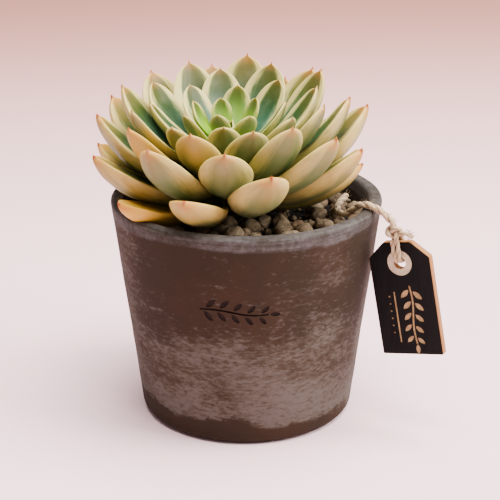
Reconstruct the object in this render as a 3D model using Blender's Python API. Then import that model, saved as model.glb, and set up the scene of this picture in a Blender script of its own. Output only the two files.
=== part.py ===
"""Potted succulent: a leaf rosette on a short stem, planted in a tapered clay pot with a hanging tag.

Metres, +Z up. The origin is the centre of the pot's underside. The tag hangs on the +X side.
"""

import math

import bmesh
import bpy
from mathutils import Matrix, Vector

MM = 0.001
FIT_GAP = 0.3 * MM

# Pot
POT_HEIGHT = 91 * MM
POT_TOP_RADIUS = 55 * MM
POT_BASE_RADIUS = 43.9 * MM
POT_WALL = 5.4 * MM
POT_FLOOR = 7 * MM
FOOT_ROUNDING = 4 * MM
RIM_ROUNDING = 1.8 * MM
POT_SEGMENTS = 64

# Filling
GRAVEL_BELOW_RIM = 7 * MM
GRAVEL_DEPTH = 6 * MM

# Stem, planted a little off the pot's axis
STEM_PLACE = Vector((-7.2 * MM, -2.5 * MM, 0))
STEM_RADIUS = 6.5 * MM
STEM_TOP_RADIUS = 2.2 * MM
STEM_BURIED = 25 * MM
CROWN_BELOW_RIM = 2.3 * MM
CROWN_HEIGHT = 24.5 * MM

# Rosette. Each list runs evenly from the lowest leaf to the innermost one.
LEAF_COUNT = 50
DROPPED_LEAVES = {3}
FIRST_LEAF_TURN = -3.04
LEAF_TURN = -137.24
TIP_REACH = [53.5 * MM, 56 * MM, 44.2 * MM, 33.4 * MM, 8.5 * MM]
TIP_ABOVE_RIM = [12.6 * MM, 33.2 * MM, 43.5 * MM, 40.4 * MM, 37.5 * MM]
LEAF_BEND = [0.16, 0.24, 0.27, 0.24, 0.16]
LEAN_X = 0.04
LEAN_Y = 0.13

# Leaves that grew out of line: degrees of turn, millimetres of reach, millimetres of height.
LEAF_QUIRKS = {
    2: (0, 0, -1),
    13: (-8, 0, 0),
    14: (0, -3, 4),
}

# Leaf
LEAF_WIDTH_MIN = 2.8 * MM
LEAF_WIDTH_PER_LENGTH = 0.35
LEAF_THICKNESS_PER_WIDTH = 0.24
LEAF_UPPER_SHARE = 0.3
LEAF_CUP = 0.16
LEAF_SEGMENTS = 10
LEAF_RINGS = 8

# Tag, hung with its left shoulder against the pot's wall
TAG_WIDTH = 26 * MM
TAG_LENGTH = 46.5 * MM
TAG_THICKNESS = 3 * MM
TAG_TOP_WIDTH = 11.5 * MM
TAG_SHOULDER = 6.3 * MM
TAG_HOLE_RADIUS = 2.5 * MM
TAG_HOLE_DROP = 8.5 * MM
TAG_AZIMUTH = math.radians(-25.16)
TAG_HOLE_BELOW_RIM = 19.4 * MM
TAG_HOLE_STANDOFF = 13.4 * MM
TAG_YAW = math.radians(30)
TAG_ROLL = math.radians(11.4)

# Twine
TWINE_RADIUS = 1.3 * MM
STRAND_RADIUS = 0.95 * MM
STRAND_SPACING = 2.2 * MM
KNOT_RADIUS = 3.2 * MM
KNOT_ABOVE_HOLE = 12.3 * MM
# From the gravel over the rim to the knot: mm out from the rim's middle, degrees around, mm above the rim.
TWINE_ROUTE = [
    (-9.1, 16.7, -5.1),
    (-14.2, 5, -5.3),
    (-15.3, -6.7, -5.3),
    (-13.4, -15, -5.1),
    (-10.7, -18, -4.2),
    (-8.3, -19, -2.6),
    (-6.2, -20.3, -0.7),
    (-4, -22, 1.1),
    (-1.6, -23.2, 1.8),
    (1, -24, 1.8),
    (3.8, -24.6, 1.2),
    (6.6, -25.1, -0.1),
    (9, -25.5, -1.7),
    (10.6, -25.8, -3),
]


def profile_value(values, t):
    """A value between evenly spaced ones, t from 0 to 1."""
    place = t * (len(values) - 1)
    low = min(int(place), len(values) - 2)
    return values[low] + (values[low + 1] - values[low]) * (place - low)


def new_material(name, colour, roughness):
    material = bpy.data.materials.new(name)
    material.use_nodes = True
    shader = material.node_tree.nodes["Principled BSDF"]
    shader.inputs["Base Color"].default_value = (*colour, 1)
    shader.inputs["Roughness"].default_value = roughness
    shader.inputs["Metallic"].default_value = 0
    return material


def add_object(name, mesh, material, smooth=True):
    mesh.materials.append(material)
    if smooth:
        mesh.shade_smooth()
        mesh.set_sharp_from_angle(angle=math.radians(40))
    obj = bpy.data.objects.new(name, mesh)
    bpy.context.scene.collection.objects.link(obj)
    return obj


def mesh_from(bm, name):
    bm.normal_update()
    bmesh.ops.recalc_face_normals(bm, faces=bm.faces)
    mesh = bpy.data.meshes.new(name)
    bm.to_mesh(mesh)
    bm.free()
    return mesh


def turned(name, profile, material, segments=POT_SEGMENTS):
    """A solid turned about Z from (radius, height) points that start and end on the axis."""
    bm = bmesh.new()
    points = [bm.verts.new((radius, 0, height)) for radius, height in profile]
    edges = [bm.edges.new(pair) for pair in zip(points, points[1:])]
    bmesh.ops.spin(
        bm,
        geom=points + edges,
        cent=(0, 0, 0),
        axis=(0, 0, 1),
        angle=2 * math.pi,
        steps=segments,
        use_merge=True,
    )
    bmesh.ops.remove_doubles(bm, verts=bm.verts, dist=1e-6)
    bmesh.ops.dissolve_degenerate(bm, edges=bm.edges, dist=1e-6)
    return add_object(name, mesh_from(bm, name), material)


def arc(centre, radius, start, end, steps):
    """Points on a round corner of a turned profile, angles in degrees."""
    angles = [math.radians(start + (end - start) * k / steps) for k in range(steps + 1)]
    return [(centre[0] + radius * math.cos(a), centre[1] + radius * math.sin(a)) for a in angles]


def cut(obj, cutter):
    """Subtracts the cutter, which stays hidden as a guide."""
    cutter.hide_render = True
    cutter.display_type = "WIRE"
    modifier = obj.modifiers.new("Cut", "BOOLEAN")
    modifier.object = cutter
    modifier.operation = "DIFFERENCE"
    modifier.solver = "EXACT"


def cylinder(name, radius, length, placing, segments=32):
    bm = bmesh.new()
    bmesh.ops.create_cone(
        bm, cap_ends=True, segments=segments, radius1=radius, radius2=radius, depth=length, matrix=placing
    )
    mesh = mesh_from(bm, name)
    obj = bpy.data.objects.new(name, mesh)
    bpy.context.scene.collection.objects.link(obj)
    return obj


def outer_radius(height):
    """The pot's outside radius at a height."""
    return POT_BASE_RADIUS + (POT_TOP_RADIUS - POT_BASE_RADIUS) * height / POT_HEIGHT


def inner_radius(height):
    return outer_radius(height) - POT_WALL


def around(radius, azimuth, height):
    return Vector((radius * math.cos(azimuth), radius * math.sin(azimuth), height))


# Pot and its filling


def make_pot():
    clay = new_material("fired_clay", (0.11, 0.06, 0.045), 0.85)
    lip = POT_HEIGHT - RIM_ROUNDING
    profile = [(0, 0)]
    profile += arc((outer_radius(0) - FOOT_ROUNDING, FOOT_ROUNDING), FOOT_ROUNDING, -90, -4, 4)
    profile += arc((outer_radius(lip) - RIM_ROUNDING, lip), RIM_ROUNDING, 0, 90, 3)
    profile += arc((inner_radius(lip) + RIM_ROUNDING, lip), RIM_ROUNDING, 90, 180, 3)
    profile += [(inner_radius(POT_FLOOR), POT_FLOOR), (0, POT_FLOOR)]
    return turned("pot", profile, clay)


def stem_hole(name):
    depth = STEM_BURIED + FIT_GAP
    top = POT_HEIGHT
    bottom = POT_HEIGHT - GRAVEL_BELOW_RIM - depth
    centre = STEM_PLACE + Vector((0, 0, (top + bottom) / 2))
    return cylinder(name, STEM_RADIUS + FIT_GAP, top - bottom, Matrix.Translation(centre), 24)


def make_soil():
    earth = new_material("potting_soil", (0.02, 0.014, 0.011), 0.95)
    low = POT_FLOOR + FIT_GAP
    high = POT_HEIGHT - GRAVEL_BELOW_RIM - GRAVEL_DEPTH
    profile = [(0, low), (inner_radius(low) - FIT_GAP, low), (inner_radius(high) - FIT_GAP, high), (0, high)]
    soil = turned("soil", profile, earth)
    cut(soil, stem_hole("soil_cutter"))
    return soil


def make_gravel():
    stones = new_material("pumice_gravel", (0.3, 0.2, 0.12), 0.9)
    low = POT_HEIGHT - GRAVEL_BELOW_RIM - GRAVEL_DEPTH + FIT_GAP
    high = POT_HEIGHT - GRAVEL_BELOW_RIM
    profile = [(0, low), (inner_radius(low) - FIT_GAP, low), (inner_radius(high) - FIT_GAP, high), (0, high)]
    gravel = turned("gravel", profile, stones)
    cut(gravel, stem_hole("gravel_cutter"))
    return gravel


# Plant


def stem_radius(t):
    """The stem's radius along the crown, t from its lowest leaf to its innermost."""
    return STEM_RADIUS + (STEM_TOP_RADIUS - STEM_RADIUS) * t


def make_stem():
    bark = new_material("succulent_stem", (0.25, 0.2, 0.1), 0.7)
    foot = POT_HEIGHT - GRAVEL_BELOW_RIM - STEM_BURIED
    crown = POT_HEIGHT - CROWN_BELOW_RIM
    top = crown + CROWN_HEIGHT
    profile = [(0, foot), (STEM_RADIUS, foot), (STEM_RADIUS, crown), (STEM_TOP_RADIUS, top), (0, top + MM)]
    stem = turned("stem", profile, bark, 24)
    stem.location = STEM_PLACE
    return stem


def leaf_outline(s):
    """The leaf's half width along its length, 1 at its widest."""
    widest = 1.15 / 1.75
    return (s / widest) ** 1.15 * ((1 - s) / (1 - widest)) ** 0.6


def leaf_depth(s):
    """The leaf's thickness along its length, 1 at its thickest."""
    thickest = 0.55 / 1.15
    return (s / thickest) ** 0.55 * ((1 - s) / (1 - thickest)) ** 0.6


class LeafPlace:
    """Where one leaf of the spiral starts, ends and bends."""

    def __init__(self, index):
        turn, reach, height = LEAF_QUIRKS.get(index, (0, 0, 0))
        t = index / (LEAF_COUNT - 1)
        azimuth = math.radians(FIRST_LEAF_TURN + LEAF_TURN * index + turn)
        reach = profile_value(TIP_REACH, t) + reach * MM
        rise = profile_value(TIP_ABOVE_RIM, t) + height * MM
        outward = around(1, azimuth, 0)
        lean = reach * (LEAN_X * outward.x + LEAN_Y * outward.y)
        crown = POT_HEIGHT - CROWN_BELOW_RIM
        self.sideways = Vector((-outward.y, outward.x, 0))
        self.base = STEM_PLACE + outward * (stem_radius(t) + FIT_GAP)
        self.base.z = crown + CROWN_HEIGHT * t
        self.tip = STEM_PLACE + outward * reach
        self.tip.z = POT_HEIGHT + rise + lean
        chord = self.tip - self.base
        self.length = chord.length
        self.width = LEAF_WIDTH_MIN + LEAF_WIDTH_PER_LENGTH * self.length
        face = self.sideways.cross(chord).normalized()
        if face.dot(outward) > face.z:
            face.negate()
        self.face = face
        self.middle = (self.base + self.tip) / 2 - face * profile_value(LEAF_BEND, t) * self.length

    def midrib(self, s):
        """The midrib's point and upper normal, s from the base to the tip."""
        point = self.base * (1 - s) ** 2 + self.middle * (2 * s * (1 - s)) + self.tip * s**2
        along = (self.middle - self.base) * (1 - s) + (self.tip - self.middle) * s
        normal = self.sideways.cross(along).normalized()
        if normal.dot(self.face) < 0:
            normal.negate()
        return point, normal


def make_leaf(index, material):
    """A ball stretched along the midrib: its poles are the leaf's base and tip."""
    place = LeafPlace(index)
    bm = bmesh.new()
    bmesh.ops.create_uvsphere(bm, u_segments=LEAF_SEGMENTS, v_segments=LEAF_RINGS, radius=1)
    for vert in bm.verts:
        s = min(max((1 + vert.co.z) / 2, 0), 1)
        ring = math.hypot(vert.co.x, vert.co.y)
        point, normal = place.midrib(s)
        if ring > 1e-4:
            across = vert.co.y / ring
            up = vert.co.x / ring
            half_width = place.width / 2 * leaf_outline(s)
            share = LEAF_UPPER_SHARE if up > 0 else 1 - LEAF_UPPER_SHARE
            thickness = place.width * LEAF_THICKNESS_PER_WIDTH * leaf_depth(s) * share
            lift = math.copysign(abs(up) ** 1.2, up) * thickness + LEAF_CUP * half_width * across**2
            point = point + place.sideways * half_width * across + normal * lift
        vert.co = point
    name = f"leaf_{index + 1:02d}"
    return add_object(name, mesh_from(bm, name), material)


# Tag and twine


def tag_frame():
    """The tag's own axes, from its hole's middle on the front face: right, up along it, and out of it."""
    height = POT_HEIGHT - TAG_HOLE_BELOW_RIM
    hole = around(outer_radius(height) + TAG_HOLE_STANDOFF, TAG_AZIMUTH, height)
    level = Vector((math.cos(TAG_YAW), -math.sin(TAG_YAW), 0))
    right = level * math.cos(TAG_ROLL) + Vector((0, 0, 1)) * math.sin(TAG_ROLL)
    up = Vector((0, 0, 1)) * math.cos(TAG_ROLL) - level * math.sin(TAG_ROLL)
    out = right.cross(up)
    placing = Matrix.Translation(hole) @ Matrix((right, up, out)).transposed().to_4x4()
    return placing


def make_tag():
    plywood = new_material("painted_plywood", (0.022, 0.016, 0.018), 0.6)
    top = TAG_HOLE_DROP
    half = TAG_WIDTH / 2
    half_top = TAG_TOP_WIDTH / 2
    outline = [
        (-half, top - TAG_LENGTH),
        (half, top - TAG_LENGTH),
        (half, top - TAG_SHOULDER),
        (half_top, top),
        (-half_top, top),
        (-half, top - TAG_SHOULDER),
    ]
    bm = bmesh.new()
    face = bm.faces.new([bm.verts.new((x, y, -TAG_THICKNESS)) for x, y in outline])
    grown = bmesh.ops.extrude_face_region(bm, geom=[face])["geom"]
    moved = [item for item in grown if isinstance(item, bmesh.types.BMVert)]
    bmesh.ops.translate(bm, verts=moved, vec=(0, 0, TAG_THICKNESS))
    tag = add_object("tag", mesh_from(bm, "tag"), plywood, smooth=False)
    tag.matrix_world = tag_frame()
    middle = tag_frame() @ Matrix.Translation((0, 0, -TAG_THICKNESS / 2))
    cut(tag, cylinder("tag_hole_cutter", TAG_HOLE_RADIUS, 3 * TAG_THICKNESS, middle, 24))
    return tag


def smooth_route(points, spacing):
    """Points about a spacing apart on a smooth curve through the given ones."""
    ends = [points[0] * 2 - points[1]] + points + [points[-1] * 2 - points[-2]]
    route = [points[0]]
    for a, b, c, d in zip(ends, ends[1:], ends[2:], ends[3:]):
        steps = max(1, round((c - b).length / spacing))
        for k in range(1, steps + 1):
            t = k / steps
            point = b * 2 + (c - a) * t + (a * 2 - b * 5 + c * 4 - d) * t**2 + (b * 3 - a - c * 3 + d) * t**3
            route.append(point / 2)
    return route


def make_cord(name, points, radius, material):
    data = bpy.data.curves.new(name, "CURVE")
    data.dimensions = "3D"
    data.bevel_depth = radius
    data.bevel_resolution = 2
    data.use_fill_caps = True
    data.materials.append(material)
    route = smooth_route(points, 2.2 * radius)
    spline = data.splines.new("POLY")
    spline.points.add(len(route) - 1)
    for spline_point, place in zip(spline.points, route):
        spline_point.co = (*place, 1)
    obj = bpy.data.objects.new(name, data)
    bpy.context.scene.collection.objects.link(obj)
    return obj


def make_twine(jute):
    rim_middle = POT_TOP_RADIUS - POT_WALL / 2
    points = [
        around(rim_middle + out * MM, math.radians(azimuth), POT_HEIGHT + up * MM)
        for out, azimuth, up in TWINE_ROUTE
    ]
    return make_cord("twine", points, TWINE_RADIUS, jute)


def knot_place():
    return tag_frame() @ Matrix.Translation((0, KNOT_ABOVE_HOLE, 0.8 * MM))


def make_knot(jute):
    bm = bmesh.new()
    bmesh.ops.create_uvsphere(bm, u_segments=16, v_segments=10, radius=KNOT_RADIUS, matrix=knot_place())
    return add_object("twine_knot", mesh_from(bm, "twine_knot"), jute)


def make_strand(name, across, jute):
    """One strand of the loop: down the tag's face, through its hole and up its back to the knot."""
    front = STRAND_RADIUS + 0.4 * MM
    back = -TAG_THICKNESS - front
    turn_in = 0.8 * MM
    start = KNOT_ABOVE_HOLE - KNOT_RADIUS - FIT_GAP
    end = KNOT_ABOVE_HOLE - KNOT_RADIUS / 2
    side_view = [
        (start, front),
        (6 * MM, front),
        (3 * MM, front + 0.2 * MM),
        (1.3 * MM, 0.9 * MM),
        (turn_in, -0.4 * MM),
        (turn_in, -TAG_THICKNESS + 0.4 * MM),
        (1.3 * MM, back + 0.4 * MM),
        (3 * MM, back - 0.2 * MM),
        (6 * MM, back),
        (end - MM, back + 0.2 * MM),
        (end, back + 0.8 * MM),
    ]
    points = [tag_frame() @ Vector((across, up, out)) for up, out in side_view]
    return make_cord(name, points, STRAND_RADIUS, jute)


def make_tail(jute):
    start = KNOT_RADIUS + STRAND_RADIUS
    side_view = [
        (start, KNOT_ABOVE_HOLE, 0.6 * MM),
        (start + 2 * MM, KNOT_ABOVE_HOLE - 0.7 * MM, 0.2 * MM),
        (start + 4 * MM, KNOT_ABOVE_HOLE - 2.2 * MM, 0),
    ]
    points = [tag_frame() @ Vector(place) for place in side_view]
    return make_cord("twine_tail", points, STRAND_RADIUS, jute)


def main():
    for obj in list(bpy.data.objects):
        bpy.data.objects.remove(obj, do_unlink=True)
    make_pot()
    make_soil()
    make_gravel()
    make_stem()
    leaf_skin = new_material("succulent_leaf", (0.55, 0.52, 0.27), 0.55)
    for index in range(LEAF_COUNT):
        if index not in DROPPED_LEAVES:
            make_leaf(index, leaf_skin)
    make_tag()
    jute = new_material("jute_twine", (0.5, 0.38, 0.24), 0.9)
    make_twine(jute)
    make_knot(jute)
    make_strand("twine_strand_1", -STRAND_SPACING / 2, jute)
    make_strand("twine_strand_2", STRAND_SPACING / 2, jute)
    make_tail(jute)


main()
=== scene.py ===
"""Potted succulent: the finished surfaces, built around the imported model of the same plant."""

import math
import random

import bmesh
import bpy
from bpy.props import FloatProperty, FloatVectorProperty, IntProperty, PointerProperty
from mathutils import Matrix, Vector, noise


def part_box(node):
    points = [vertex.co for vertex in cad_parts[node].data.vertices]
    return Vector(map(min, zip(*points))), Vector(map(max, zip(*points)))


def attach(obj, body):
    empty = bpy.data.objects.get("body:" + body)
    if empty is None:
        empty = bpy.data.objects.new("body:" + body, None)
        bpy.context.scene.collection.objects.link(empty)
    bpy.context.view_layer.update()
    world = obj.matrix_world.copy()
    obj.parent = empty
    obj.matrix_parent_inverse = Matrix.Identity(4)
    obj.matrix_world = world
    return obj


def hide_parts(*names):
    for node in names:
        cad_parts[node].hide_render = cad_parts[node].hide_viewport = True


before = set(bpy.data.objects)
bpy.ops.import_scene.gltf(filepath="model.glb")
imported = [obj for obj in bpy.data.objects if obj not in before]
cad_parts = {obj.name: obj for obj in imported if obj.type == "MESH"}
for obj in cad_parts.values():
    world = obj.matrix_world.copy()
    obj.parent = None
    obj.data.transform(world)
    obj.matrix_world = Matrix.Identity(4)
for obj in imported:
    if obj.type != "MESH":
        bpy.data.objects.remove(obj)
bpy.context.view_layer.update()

bl_info = {
    "name": "Potted Succulent",
    "version": (1, 0, 0),
    "blender": (4, 5, 0),
    "location": "3D View > Sidebar > Succulent",
    "description": "Builds a variegated rosette succulent in a weathered clay pot with a tag on twine",
    "category": "Object",
}

MM = 0.001

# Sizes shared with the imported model
POT_LOW, POT_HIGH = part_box("pot")
SOIL_LOW, SOIL_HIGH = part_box("soil")
POT_HEIGHT = POT_HIGH[2]
POT_TOP_RADIUS = POT_HIGH[0]
POT_BASE_RADIUS = 43.9 * MM
POT_WALL = 5.4 * MM
POT_FLOOR = 7 * MM
STEM_PLACE = Vector((-7.2 * MM, -2.5 * MM, 0))
STEM_RADIUS = 6.5 * MM
STEM_TOP_RADIUS = 2.2 * MM
CROWN_BELOW_RIM = 2.3 * MM
LEAF_COUNT = 50
LEAF_BEND = [0.16, 0.24, 0.27, 0.24, 0.16]
TAG_WIDTH = 26 * MM
TAG_LENGTH = 46.5 * MM
TAG_THICKNESS = 3 * MM
TAG_TOP_WIDTH = 11.5 * MM
TAG_SHOULDER = 6.3 * MM
TAG_HOLE_RADIUS = 2.5 * MM
TAG_HOLE_DROP = 8.5 * MM
TAG_AZIMUTH = math.radians(-25.16)
TAG_HOLE_BELOW_RIM = 19.4 * MM
TAG_HOLE_STANDOFF = 13.4 * MM
TAG_YAW = math.radians(30)
TAG_ROLL = math.radians(11.4)
KNOT_ABOVE_HOLE = 12.3 * MM
KNOT_OFF_FACE = 0.6 * MM
SECTION_SPACING = 0.45 * MM
# From the gravel over the rim to the knot: mm out from the rim's middle, degrees around, mm above the rim.
TWINE_ROUTE = [
    (-9.1, 16.7, -5.1),
    (-14.2, 5, -5.3),
    (-15.3, -6.7, -5.3),
    (-13.4, -15, -5.1),
    (-10.7, -18, -4.2),
    (-8.3, -19, -2.6),
    (-6.2, -20.3, -0.7),
    (-4, -22, 1.1),
    (-1.6, -23.2, 1.8),
    (1, -24, 1.8),
    (3.8, -24.6, 1.2),
    (6.6, -25.1, -0.1),
    (9, -25.5, -1.7),
    (10.6, -25.8, -3),
]

# Leaves whose margins have turned amber: leaf number to how far, 0 to 1.
AMBER_LEAVES = {1: 0.25, 2: 1.0, 5: 0.2, 7: 0.25, 9: 0.12, 10: 0.2, 12: 0.06, 20: 0.05, 23: 0.8, 28: 0.5}

# Node kinds and settings that the materials use most
MATH = "ShaderNodeMath"
MIX = "ShaderNodeMix"
NOISE = "ShaderNodeTexNoise"
RAMP = "ShaderNodeValToRGB"
RANGE = "ShaderNodeMapRange"
SMOOTH = "SMOOTHSTEP"


# Small tools


def hex_colour(text):
    """An sRGB hex colour as the linear values that a shader reads."""
    channels = [int(text[i : i + 2], 16) / 255 for i in (1, 3, 5)]
    linear = [c / 12.92 if c <= 0.04045 else ((c + 0.055) / 1.055) ** 2.4 for c in channels]
    return (*linear, 1.0)


def add_node(tree, kind, inputs=None, out=0, stops=None, **settings):
    """Adds a node with its settings, input values or links, and ramp stops, and returns one output."""
    node = tree.nodes.new(kind)
    for name, value in settings.items():
        setattr(node, name, value)
    for name, value in (inputs or {}).items():
        if isinstance(value, bpy.types.NodeSocket):
            tree.links.new(value, node.inputs[name])
        else:
            node.inputs[name].default_value = value
    if stops:
        elements = node.color_ramp.elements
        while len(elements) < len(stops):
            elements.new(0.5)
        for element, (position, colour) in zip(elements, stops):
            element.position = position
            element.color = hex_colour(colour)
    return node.outputs[out]


def new_material(name, roughness, **uniform):
    """A material whose shader sockets hold what is the same all over its surface."""
    material = bpy.data.materials.new(name)
    material.use_nodes = True
    shader = material.node_tree.nodes["Principled BSDF"]
    shader.inputs["Roughness"].default_value = roughness
    for socket, value in uniform.items():
        shader.inputs[socket.replace("_", " ")].default_value = value
    return material, material.node_tree, shader


def wire(tree, shader, colour, normal=None):
    for socket, source in (("Base Color", colour), ("Normal", normal)):
        if source is not None:
            tree.links.new(source, shader.inputs[socket])


def smoothstep(low, high, value):
    t = min(max((value - low) / (high - low), 0), 1)
    return t * t * (3 - 2 * t)


def profile_value(values, t):
    """A value between evenly spaced ones, t from 0 to 1."""
    place = t * (len(values) - 1)
    low = min(int(place), len(values) - 2)
    return values[low] + (values[low + 1] - values[low]) * (place - low)


def add_piece(name, bm, materials, replaced=(), smooth_angle=180):
    """Turns a bmesh into a finished piece at the origin that rides on the pot."""
    mesh = bpy.data.meshes.new(name)
    bm.to_mesh(mesh)
    bm.free()
    for material in materials:
        mesh.materials.append(material)
    mesh.shade_smooth()
    if smooth_angle < 180:
        mesh.set_sharp_from_angle(angle=math.radians(smooth_angle))
    obj = bpy.data.objects.new(name, mesh)
    bpy.context.scene.collection.objects.link(obj)
    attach(obj, "root")
    if replaced:
        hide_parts(*replaced)
    return obj


def outward(bm):
    bm.normal_update()
    bmesh.ops.recalc_face_normals(bm, faces=bm.faces)


def turn(bm, profile, steps):
    """Spins (radius, height) points that start and end on the axis into a closed solid."""
    points = [bm.verts.new((radius, 0, height)) for radius, height in profile]
    edges = [bm.edges.new(pair) for pair in zip(points, points[1:])]
    full_turn = 2 * math.pi
    bmesh.ops.spin(
        bm, geom=points + edges, cent=(0, 0, 0), axis=(0, 0, 1), angle=full_turn, steps=steps, use_merge=True
    )
    bmesh.ops.remove_doubles(bm, verts=bm.verts, dist=1e-6)
    outward(bm)


def arc(centre, radius, start, end, steps):
    """Points on a round corner of a turned profile, angles in degrees."""
    angles = [math.radians(start + (end - start) * k / steps) for k in range(steps + 1)]
    return [(centre[0] + radius * math.cos(a), centre[1] + radius * math.sin(a)) for a in angles]


def straight(start, end, steps):
    """Points between two ends of a turned profile, without the ends."""
    return [
        (start[0] + (end[0] - start[0]) * k / steps, start[1] + (end[1] - start[1]) * k / steps)
        for k in range(1, steps)
    ]


def around(radius, azimuth, height):
    return Vector((radius * math.cos(azimuth), radius * math.sin(azimuth), height))


def outer_radius(height):
    """The pot's outside radius at a height."""
    return POT_BASE_RADIUS + (POT_TOP_RADIUS - POT_BASE_RADIUS) * height / POT_HEIGHT


def smooth_route(points, spacing):
    """Points about a spacing apart on a smooth curve through the given ones."""
    ends = [points[0] * 2 - points[1]] + points + [points[-1] * 2 - points[-2]]
    route = [points[0]]
    for a, b, c, d in zip(ends, ends[1:], ends[2:], ends[3:]):
        steps = max(1, round((c - b).length / spacing))
        for k in range(1, steps + 1):
            t = k / steps
            point = b * 2 + (c - a) * t + (a * 2 - b * 5 + c * 4 - d) * t**2 + (b * 3 - a - c * 3 + d) * t**3
            route.append(point / 2)
    return route


def subtract(obj, cutter):
    """Cuts the cutter out of the piece for good and removes it."""
    modifier = obj.modifiers.new("Cut", "BOOLEAN")
    modifier.object = cutter
    modifier.operation = "DIFFERENCE"
    modifier.solver = "EXACT"
    graph = bpy.context.evaluated_depsgraph_get()
    cut_mesh = bpy.data.meshes.new_from_object(obj.evaluated_get(graph))
    obj.modifiers.clear()
    obj.data = cut_mesh
    bpy.data.objects.remove(cutter)


# The sprig that decorates the pot and the tag


def lens(base, direction, length, width, steps=8):
    """A pointed leaf shape in the plane, from its base along a direction in degrees."""
    along = Vector((math.cos(math.radians(direction)), math.sin(math.radians(direction))))
    across = Vector((-along.y, along.x))
    sides = []
    for sign in (-1, 1):
        side = []
        for k in range(1, steps):
            t = k / steps
            side.append(base + along * length * t + across * sign * width / 2 * math.sin(math.pi * t) ** 0.8)
        sides.append(side)
    return [base] + sides[0] + [base + along * length] + sides[1][::-1]


def sprig_shapes(length, height, pairs):
    """A wavy twig with paired leaves, as closed outlines centred on the origin."""
    twig_width = height * 0.09
    steps = 24
    rise = [math.sin(k / steps * 2 * math.pi) * height * 0.07 for k in range(steps + 1)]
    xs = [length * (k / steps - 0.5) * 0.86 for k in range(steps + 1)]
    twig = [Vector((x, y - twig_width / 2)) for x, y in zip(xs, rise)]
    twig += [Vector((x, y + twig_width / 2)) for x, y in zip(xs, rise)][::-1]
    shapes = [twig]
    for pair in range(pairs):
        x = length * ((pair + 0.4) / pairs - 0.5) * 0.86
        size = height * (0.62 - 0.16 * pair / pairs)
        middle = math.sin((x / (length * 0.86) + 0.5) * 2 * math.pi) * height * 0.07
        for sign in (-1, 1):
            base = Vector((x + sign * length * 0.012, middle + sign * height * 0.1))
            shapes.append(lens(base, sign * 48, size, size * 0.42))
    shapes.append(lens(Vector((length * 0.44, 0)), 0, height * 0.5, height * 0.22))
    return shapes


def stamp_cutter(name, shapes, place, slots, slot):
    """Prisms through the outlines: place maps a point of the outline and a depth, 0 or 1, to space."""
    bm = bmesh.new()
    for shape in shapes:
        face = bm.faces.new([bm.verts.new((point.x, point.y, 0)) for point in shape])
        grown = bmesh.ops.extrude_face_region(bm, geom=[face])["geom"]
        moved = [item for item in grown if isinstance(item, bmesh.types.BMVert)]
        bmesh.ops.translate(bm, verts=moved, vec=(0, 0, 1))
    for vert in bm.verts:
        vert.co = place(vert.co.xy, vert.co.z)
    for face in bm.faces:
        face.material_index = slot
    outward(bm)
    mesh = bpy.data.meshes.new(name)
    bm.to_mesh(mesh)
    bm.free()
    for _ in range(slots):
        mesh.materials.append(None)
    obj = bpy.data.objects.new(name, mesh)
    bpy.context.scene.collection.objects.link(obj)
    return obj


# Settings that a user would change


def colour_property(name, default, description):
    return FloatVectorProperty(
        name=name, description=description, default=hex_colour(default), size=4, subtype="COLOR", min=0, max=1
    )


class PotSettings(bpy.types.PropertyGroup):
    clay: colour_property("Clay", "#291C0D", "Colour of the bare fired clay")
    # The bloom colour is also laid over the pot's right half as painted light.
    bloom: colour_property("Bloom", "#595550", "Colour of the chalky deposit")
    rim_band: FloatProperty(
        name="Rim band", description="Height of the worn band below the rim", default=5.5 * MM, unit="LENGTH"
    )
    stamp_length: FloatProperty(
        name="Stamp length", description="Length of the pressed sprig", default=31 * MM, unit="LENGTH"
    )
    stamp_depth: FloatProperty(
        name="Stamp depth", description="How deep the sprig is pressed", default=0.5 * MM, unit="LENGTH"
    )


class GravelSettings(bpy.types.PropertyGroup):
    stone_size: FloatProperty(
        name="Stone size", description="Width of the largest stones", default=9.4 * MM, unit="LENGTH"
    )
    stones: IntProperty(name="Stones", description="How many stones are laid at most", default=260, min=1)
    soil: colour_property("Soil", "#120D0A", "Colour of the damp potting soil")


class LeafSettings(bpy.types.PropertyGroup):
    margin: colour_property("Margin", "#BCB26C", "Cream colour of the leaf margins")
    stripe: colour_property("Stripe", "#213A0B", "Green of the stripe along the leaf")
    tip: colour_property("Tip", "#8A2814", "Red of the small hard tips")
    width_per_length: FloatProperty(
        name="Width", description="Leaf width for each unit of length", default=0.35, min=0.1
    )


class TagSettings(bpy.types.PropertyGroup):
    paint: colour_property("Paint", "#0D0C0C", "Colour of the tag's paint")
    wood: colour_property("Wood", "#A06C33", "Colour of the bare plywood")
    engraving_depth: FloatProperty(
        name="Engraving", description="Depth of the engraved sprig", default=0.25 * MM, unit="LENGTH"
    )


class TwineSettings(bpy.types.PropertyGroup):
    radius: FloatProperty(name="Radius", description="Radius of the twine", default=1.4 * MM, unit="LENGTH")
    twist: FloatProperty(
        name="Twist", description="Length of one full turn of its strands", default=11 * MM, unit="LENGTH"
    )
    jute: colour_property("Jute", "#C4A984", "Colour of the jute")


class StageSettings(bpy.types.PropertyGroup):
    floor: colour_property("Floor", "#F1CFD4", "Colour of the floor")
    # The backdrop colour is painted shade on the far paper.
    backdrop: colour_property("Backdrop", "#C68D80", "Colour far behind the object")


SETTINGS = {
    "pot_settings": PotSettings,
    "gravel_settings": GravelSettings,
    "leaf_settings": LeafSettings,
    "tag_settings": TagSettings,
    "twine_settings": TwineSettings,
    "stage_settings": StageSettings,
}


# Pot


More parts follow.
